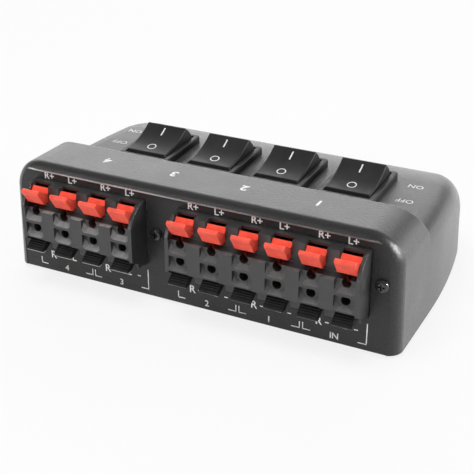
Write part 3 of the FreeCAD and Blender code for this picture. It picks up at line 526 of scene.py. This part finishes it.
for number in COLUMNS:
    bank = "left" if number <= LEFT_BANK_COLUMNS else "right"
    for row in ("plus", "minus"):
        name, lever = "%s_contact_spring_%02d" % (row, number), "%s_lever_%02d" % (row, number)
        bending_spring(name, bank + "_contact_springs", lever)

# %% [markdown]
# ## Rubber, board and wire
#
# The feet are matt rubber with a dusty bloom.  The back plates are phenolic paper board,
# brown and slightly fibrous.  The hook-up wires are soft PVC, which is smooth and a little
# shiny.


# %% soft and inner finishes
def foot_rubber():
    """Matt rubber with a pale bloom in patches."""
    recipe = Recipe("matt_rubber")
    bloom = recipe.span(recipe.noise(0.003, 4.0), 0.4, 0.7)
    recipe.colour(recipe.blend(bloom, grey(0.018), grey(0.045)))
    recipe.roughness(recipe.span(recipe.noise(0.0008, 2.0), 0.3, 0.7, 0.72, 0.9))
    recipe.bump(recipe.noise(0.0004, 2.0), 0.00005)
    return recipe


def phenolic_board():
    """Brown paper board whose fibres run along X."""
    recipe = Recipe("phenolic_board")
    fibre = recipe.span(recipe.noise(0.0015, 5.0, (0.2, 1, 1)), 0.3, 0.7)
    recipe.colour(recipe.blend(fibre, (0.19, 0.09, 0.035, 1), (0.32, 0.17, 0.07, 1)))
    recipe.roughness(recipe.span(recipe.noise(0.0006, 2.0), 0.3, 0.7, 0.4, 0.6))
    recipe.bump(fibre, 0.00003)
    return recipe


def wire_cover(name, colour, light):
    """Smooth PVC whose colour drifts a little along the wire."""
    recipe = Recipe(name)
    drift = recipe.span(recipe.noise(0.004, 3.0), 0.3, 0.7)
    recipe.colour(recipe.blend(drift, colour, light))
    recipe.roughness(recipe.span(recipe.noise(0.002, 2.0), 0.3, 0.7, 0.34, 0.5))
    recipe.bump(recipe.noise(0.0012, 2.0), 0.00003)
    return recipe


wear(["rubber_feet"], foot_rubber())
wear(["left_back_plate", "right_back_plate"], phenolic_board())
wear(["amplifier_wires"], wire_cover("red_pvc", (0.5, 0.03, 0.02, 1), (0.6, 0.05, 0.03, 1)))
grey_wire = wire_cover("grey_pvc", grey(0.2), grey(0.28))
wear(["speaker_wires_%d" % number for number in SWITCHES], grey_wire)

# %% [markdown]
# ## Printed marks
#
# The marks are pad-printed in white ink: a film a few hundredths of a millimetre thick
# that follows the surface below it.  The ink on the face is painted whiter than the ink on
# top, to make up for the shade on the face and the stronger light on top.


# %% ink
def ink_film(name, full, thin):
    """White ink that is thinner in small patches."""
    recipe = Recipe(name)
    warm = (1, 1, 0.98)
    patchy = recipe.span(recipe.noise(0.0007, 3.0), 0.42, 0.72)
    recipe.colour(recipe.blend(patchy, grey(full, warm), grey(thin, warm)))
    recipe.roughness(recipe.span(recipe.noise(0.0005, 2.0), 0.3, 0.7, 0.4, 0.62))
    recipe.bump(recipe.noise(0.0003, 1.0), 0.00001)
    return recipe


# Lit and shaded copies of one ink: the top ink is darker because more light falls on top, and
# the face ink whiter because the face is in shade.
top_ink_dimmed_for_light = ink_film("white_ink_top", 0.76, 0.6)
face_ink_whitened_for_shade = ink_film("white_ink_face", 0.95, 0.85)
print("inks", top_ink_dimmed_for_light.material.name, face_ink_whitened_for_shade.material.name)

# %% [markdown]
# ### From a flat mark to a printed one
#
# A mark drawn into the material would need a picture or a long formula.  Here each one is
# a flat mesh, cut fine enough to bend, and dropped on to the solid below it along a
# straight line, so it also follows the hollow top of a rocker.

# %% lay a flat mark on a solid
INK_LIFT = 0.00003
START_BACK, REACH = 0.01, 0.03


def dropped(flat, node, direction):
    """Lay a bmesh on a solid by moving each corner along a straight line."""
    tree = BVHTree.FromObject(bpy.data.objects[node], bpy.context.evaluated_depsgraph_get())
    direction = Vector(direction)
    missed = 0
    for corner in flat.verts:
        place = tree.ray_cast(corner.co - direction * START_BACK, direction, REACH)[0]
        if place is None:
            missed += 1
        else:
            corner.co = place - direction * INK_LIFT
    return missed


def printed(name, flat, node, direction, body, ink):
    """Make a printed mark of a bmesh that floats over a solid."""
    missed = dropped(flat, node, direction)
    piece = piece_from(flat, name, ink)
    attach(piece, body)
    print(name, "faces", len(piece.data.polygons), "missed", missed)


# %% [markdown]
# ### Strokes, rings and letters
#
# Three flat shapes are enough for every mark.  The letters start as a text curve in the
# program's own plain font, and its capitals fill a known share of the font's size.


# %% flat shapes for marks
STROKE_STEP = 0.0006
RING_SIDES = 40
CAPITAL_SHARE = 0.69


def strokes(lines, width):
    """Flat mesh of straight strokes in the XY plane, cut across so that it can bend."""
    flat = bmesh.new()
    for (x0, y0), (x1, y1) in lines:
        run = Vector((x1 - x0, y1 - y0, 0))
        across = Vector((-run.y, run.x, 0)).normalized() * width / 2
        count = max(1, round(run.length / STROKE_STEP))
        rows = []
        for index in range(count + 1):
            centre = Vector((x0, y0, 0)) + run * index / count
            rows.append([flat.verts.new(centre - across), flat.verts.new(centre + across)])
        for before, after in zip(rows, rows[1:]):
            flat.faces.new((before[0], after[0], after[1], before[1]))
    return flat


def ring(radius, width):
    """Flat ring in the XY plane."""
    flat = bmesh.new()
    inner, outer = radius - width / 2, radius + width / 2
    rows = []
    for index in range(RING_SIDES):
        angle = 2 * math.pi * index / RING_SIDES
        unit = Vector((math.cos(angle), math.sin(angle), 0))
        rows.append([flat.verts.new(unit * inner), flat.verts.new(unit * outer)])
    for before, after in zip(rows, rows[1:] + rows[:1]):
        flat.faces.new((before[0], before[1], after[1], after[0]))
    return flat


def letters(words, height, bold=0.0):
    """Flat mesh of plain letters, centred on the origin, capitals height metres tall."""
    curve = bpy.data.curves.new("letters", "FONT")
    curve.body = words
    curve.size = height / CAPITAL_SHARE
    curve.align_x = "CENTER"
    curve.offset = bold
    curve.resolution_u = 3
    holder = add_object("letters", curve)
    depsgraph = bpy.context.evaluated_depsgraph_get()
    mesh = bpy.data.meshes.new_from_object(holder.evaluated_get(depsgraph))
    flat = bmesh.new()
    flat.from_mesh(mesh)
    bmesh.ops.translate(flat, verts=flat.verts, vec=(0, -height / 2, 0))
    bpy.data.objects.remove(holder)
    bpy.data.curves.remove(curve)
    bpy.data.meshes.remove(mesh)
    return flat


DOWN, INTO_FACE = (0, 0, -1), (0, 1, 0)
ON_FACE = Matrix.Rotation(math.radians(90), 4, "X")
FROM_USER = Matrix.Rotation(math.radians(180), 4, "Z")

# %% [markdown]
# ### Marks on the rockers
#
# A line for ON at the far end and a ring for OFF at the near end, the common signs of a
# rocker switch.

# %% rocker marks
OVER_ROCKER = 0.056
BAR_HALF, BAR_WIDTH = 0.0021, 0.0007
RING_RADIUS, RING_WIDTH = 0.00188, 0.00045


def mark_on_rocker(name, flat, number, y):
    """Print a mark on a rocker, on which it also rides."""
    bmesh.ops.translate(flat, verts=flat.verts, vec=(switch_x[number], y, OVER_ROCKER))
    rocker = "rocker_%d" % number
    printed("%s_%d" % (name, number), flat, rocker, DOWN, rocker, top_ink_dimmed_for_light)


for number in SWITCHES:
    bar = strokes([((0, -BAR_HALF), (0, BAR_HALF))], BAR_WIDTH)
    mark_on_rocker("on_mark", bar, number, row_y + 0.0030)
    mark_on_rocker("off_mark", ring(RING_RADIUS, RING_WIDTH), number, row_y - 0.00735)


# %% [markdown]
# ### Words and numbers on the panel and the hood
#
# They read from the user's side, so they are turned half round.


# %% marks for the user
OVER_HOOD = 0.06
WORD_HEIGHT, NUMBER_HEIGHT, NUMBER_BOLD = 0.00305, 0.0045, 0.0002
number_y = face_y + 0.0155


def mark_from_above(name, words, height, x, y, bold=0.0):
    """Print words on the housing, upright for the user."""
    flat = letters(words, height, bold)
    place = Matrix.Translation((x, y, OVER_HOOD)) @ FROM_USER
    bmesh.ops.transform(flat, matrix=place, verts=flat.verts)
    printed(name, flat, "housing_shell", DOWN, "console", top_ink_dimmed_for_light)


for side, x, on_y, off_y in (("right", 0.0713, 0.0107, -0.0041), ("left", -0.071, 0.0139, 0.0)):
    mark_from_above("on_word_" + side, "ON", WORD_HEIGHT, x, row_y + on_y)
    mark_from_above("off_word_" + side, "OFF", WORD_HEIGHT, x, row_y + off_y)
for number, x in switch_x.items():
    name, words = "switch_number_%d" % number, str(len(SWITCHES) + 1 - number)
    mark_from_above(name, words, NUMBER_HEIGHT, x, number_y, NUMBER_BOLD)

# %% [markdown]
# ### Channel marks on the terminal face
#
# Each pair of columns has a right and a left channel, with a plus row above and a minus
# row below.  The letters stand a little to the side of their column, where the levers
# leave them room.


# %% channel marks on the face
BEFORE_FACE = 0.002
PLUS_Z, DASH_Z, DASH_HALF = 0.0475, 0.0096, 0.0008


def mark_on_face(name, flat, x, z):
    """Print a mark on the terminal face, upright for whoever connects the wires."""
    place = Matrix.Translation((x, face_y - BEFORE_FACE, z)) @ ON_FACE
    bmesh.ops.transform(flat, matrix=place, verts=flat.verts)
    printed(name, flat, "housing_shell", INTO_FACE, "console", face_ink_whitened_for_shade)


# Each channel's letter, and where its plus mark, minus mark and dash stand by its column.
right_channel = ("R", 0.0007, (-0.0004, 0.0096), 0.0032)
left_channel = ("L", -0.0017, (-0.0037, 0.0106), 0.0012)
for number, x in column_x.items():
    letter, plus_dx, (minus_dx, minus_z), dash_dx = right_channel if number % 2 else left_channel
    plus = letters(letter + "+", 0.0030, 0.00009)
    mark_on_face("plus_mark_%02d" % number, plus, x + plus_dx, PLUS_Z)
    minus = letters(letter, 0.0033, 0.00008)
    mark_on_face("minus_mark_%02d" % number, minus, x + minus_dx, minus_z)
    dash = strokes([((-DASH_HALF, 0), (DASH_HALF, 0))], 0.0005)
    mark_on_face("minus_dash_%02d" % number, dash, x + dash_dx, DASH_Z)

# %% [markdown]
# ### Brackets on the terminal face
#
# A bracket holds each pair of columns together and carries the number of its switch.  The
# last pair takes the feed.  An arm is long where the face beside it is free.

# %% brackets on the face
BRACKET_WIDTH = 0.00045
BRACKET_Z, PAIR_NUMBER_Z = 0.0042, 0.0045
SHORT_ARM, LONG_ARM = 0.003, 0.0093
for pair, words in enumerate(("4", "3", "2", "1", "IN")):
    low, high = column_x[2 * pair + 1] - 0.0071, column_x[2 * pair + 2] + 0.0057
    right_arm = LONG_ARM if words in ("3", "IN") else SHORT_ARM
    sides = [((low, SHORT_ARM), (low, 0)), ((low - 0.0002, 0), (low + 0.0033, 0)),
             ((high - 0.0036, 0), (high + 0.0002, 0)), ((high, 0), (high, right_arm))]
    mark_on_face("bracket_" + words, strokes(sides, BRACKET_WIDTH), 0, BRACKET_Z)
    number_mark = letters(words, 0.0027, 0.00008)
    mark_on_face("pair_number_" + words, number_mark, (low + high) / 2, PAIR_NUMBER_Z)

# %% [markdown]
# ## Floor and backdrop
#
# A pale sweep, the plainest of product sets.  The floor is white to the camera and pale to
# everything else, and keeps the contact shadow: most of what the camera sees of it glows
# by itself, and the rest is lit, so that a shadow still tells.


# %% floor and world
def pale_floor():
    """Pale paper, near white to the camera, to reflections and through glass."""
    recipe = Recipe("pale_floor")
    cloud = recipe.span(recipe.noise(0.4, 2.0), 0.3, 0.7)
    recipe.colour(recipe.blend(cloud, grey(0.86), grey(0.88)))
    recipe.roughness(recipe.span(recipe.noise(0.2, 2.0), 0.3, 0.7, 0.7, 0.8))
    seen = recipe.tree.nodes.new("ShaderNodeLightPath").outputs
    straight = recipe.maths("MAXIMUM", seen["Is Camera Ray"], seen["Is Glossy Ray"])
    straight = recipe.maths("MAXIMUM", straight, seen["Is Transmission Ray"])
    glow = recipe.tree.nodes.new("ShaderNodeEmission")
    glow.inputs["Color"].default_value = (0.97, 0.97, 0.97, 1)
    mix = recipe.tree.nodes.new("ShaderNodeMixShader")
    recipe.link(recipe.maths("MULTIPLY", straight, 0.86), mix.inputs["Fac"])
    recipe.link(recipe.shader.outputs["BSDF"], mix.inputs[1])
    recipe.link(glow.outputs["Emission"], mix.inputs[2])
    recipe.link(mix.outputs["Shader"], recipe.tree.nodes["Material Output"].inputs["Surface"])
    return recipe


floor_mesh = bpy.data.meshes.new("floor")
floor_mesh.from_pydata([(-3, -3, 0), (3, -3, 0), (3, 3, 0), (-3, 3, 0)], [], [(0, 1, 2, 3)])
floor = add_object("floor", floor_mesh)
floor_mesh.materials.append(pale_floor().material)

world = bpy.data.worlds.new("studio")
bpy.context.scene.world = world
world.use_nodes = True
background = world.node_tree.nodes["Background"]
background.inputs["Color"].default_value = (1, 1, 1, 1)
background.inputs["Strength"].default_value = 0.3
print("floor", tuple(round(side, 1) for side in floor.dimensions), "m")

# %% [markdown]
# ## Light
#
# Two large soft boxes behind the object draw the long, soft highlights on its rounded
# edges and on the far side.  One overhead lights the hood, and a weak strip fills the
# face.  The overhead box is hidden from reflections, because its mirror image would grey
# the dark band under the hood's edge.  The small spark is the opposite: it is seen only in
# reflections, where it makes the glint on the hood's near corner.


# %% lamps
def soft_box(name, place, target, width, height, power):
    """Rectangular lamp aimed at a point."""
    lamp = bpy.data.lights.new(name, "AREA")
    lamp.shape = "RECTANGLE"
    lamp.size = width
    lamp.size_y = height
    lamp.energy = power
    holder = add_object(name, lamp)
    aim(holder, place, target)
    print(name, "lamp", power, "W,", width, "by", height, "m")
    return holder


body_middle = (0, 0, 0.03)
near_corner = (0.088, face_y, 0.045)
soft_box("rear", (-0.52, face_y + 1.35, 0.62), body_middle, 1.9, 0.75, 12.8)
soft_box("rear_right", (1.4, 0.62, 0.3), body_middle, 1.5, 0.6, 16.0)
overhead = soft_box("overhead", (-0.05, face_y - 0.22, 1.0), (0, face_y, 0), 0.7, 0.5, 7.6)
overhead.visible_glossy = False
spark = soft_box("spark", (0.848, face_y + 0.12, 0.345), near_corner, 0.12, 0.12, 16.0)
spark.visible_diffuse = False
soft_box("front_left", (-0.55, -0.95, 0.35), body_middle, 0.6, 0.12, 2.0)
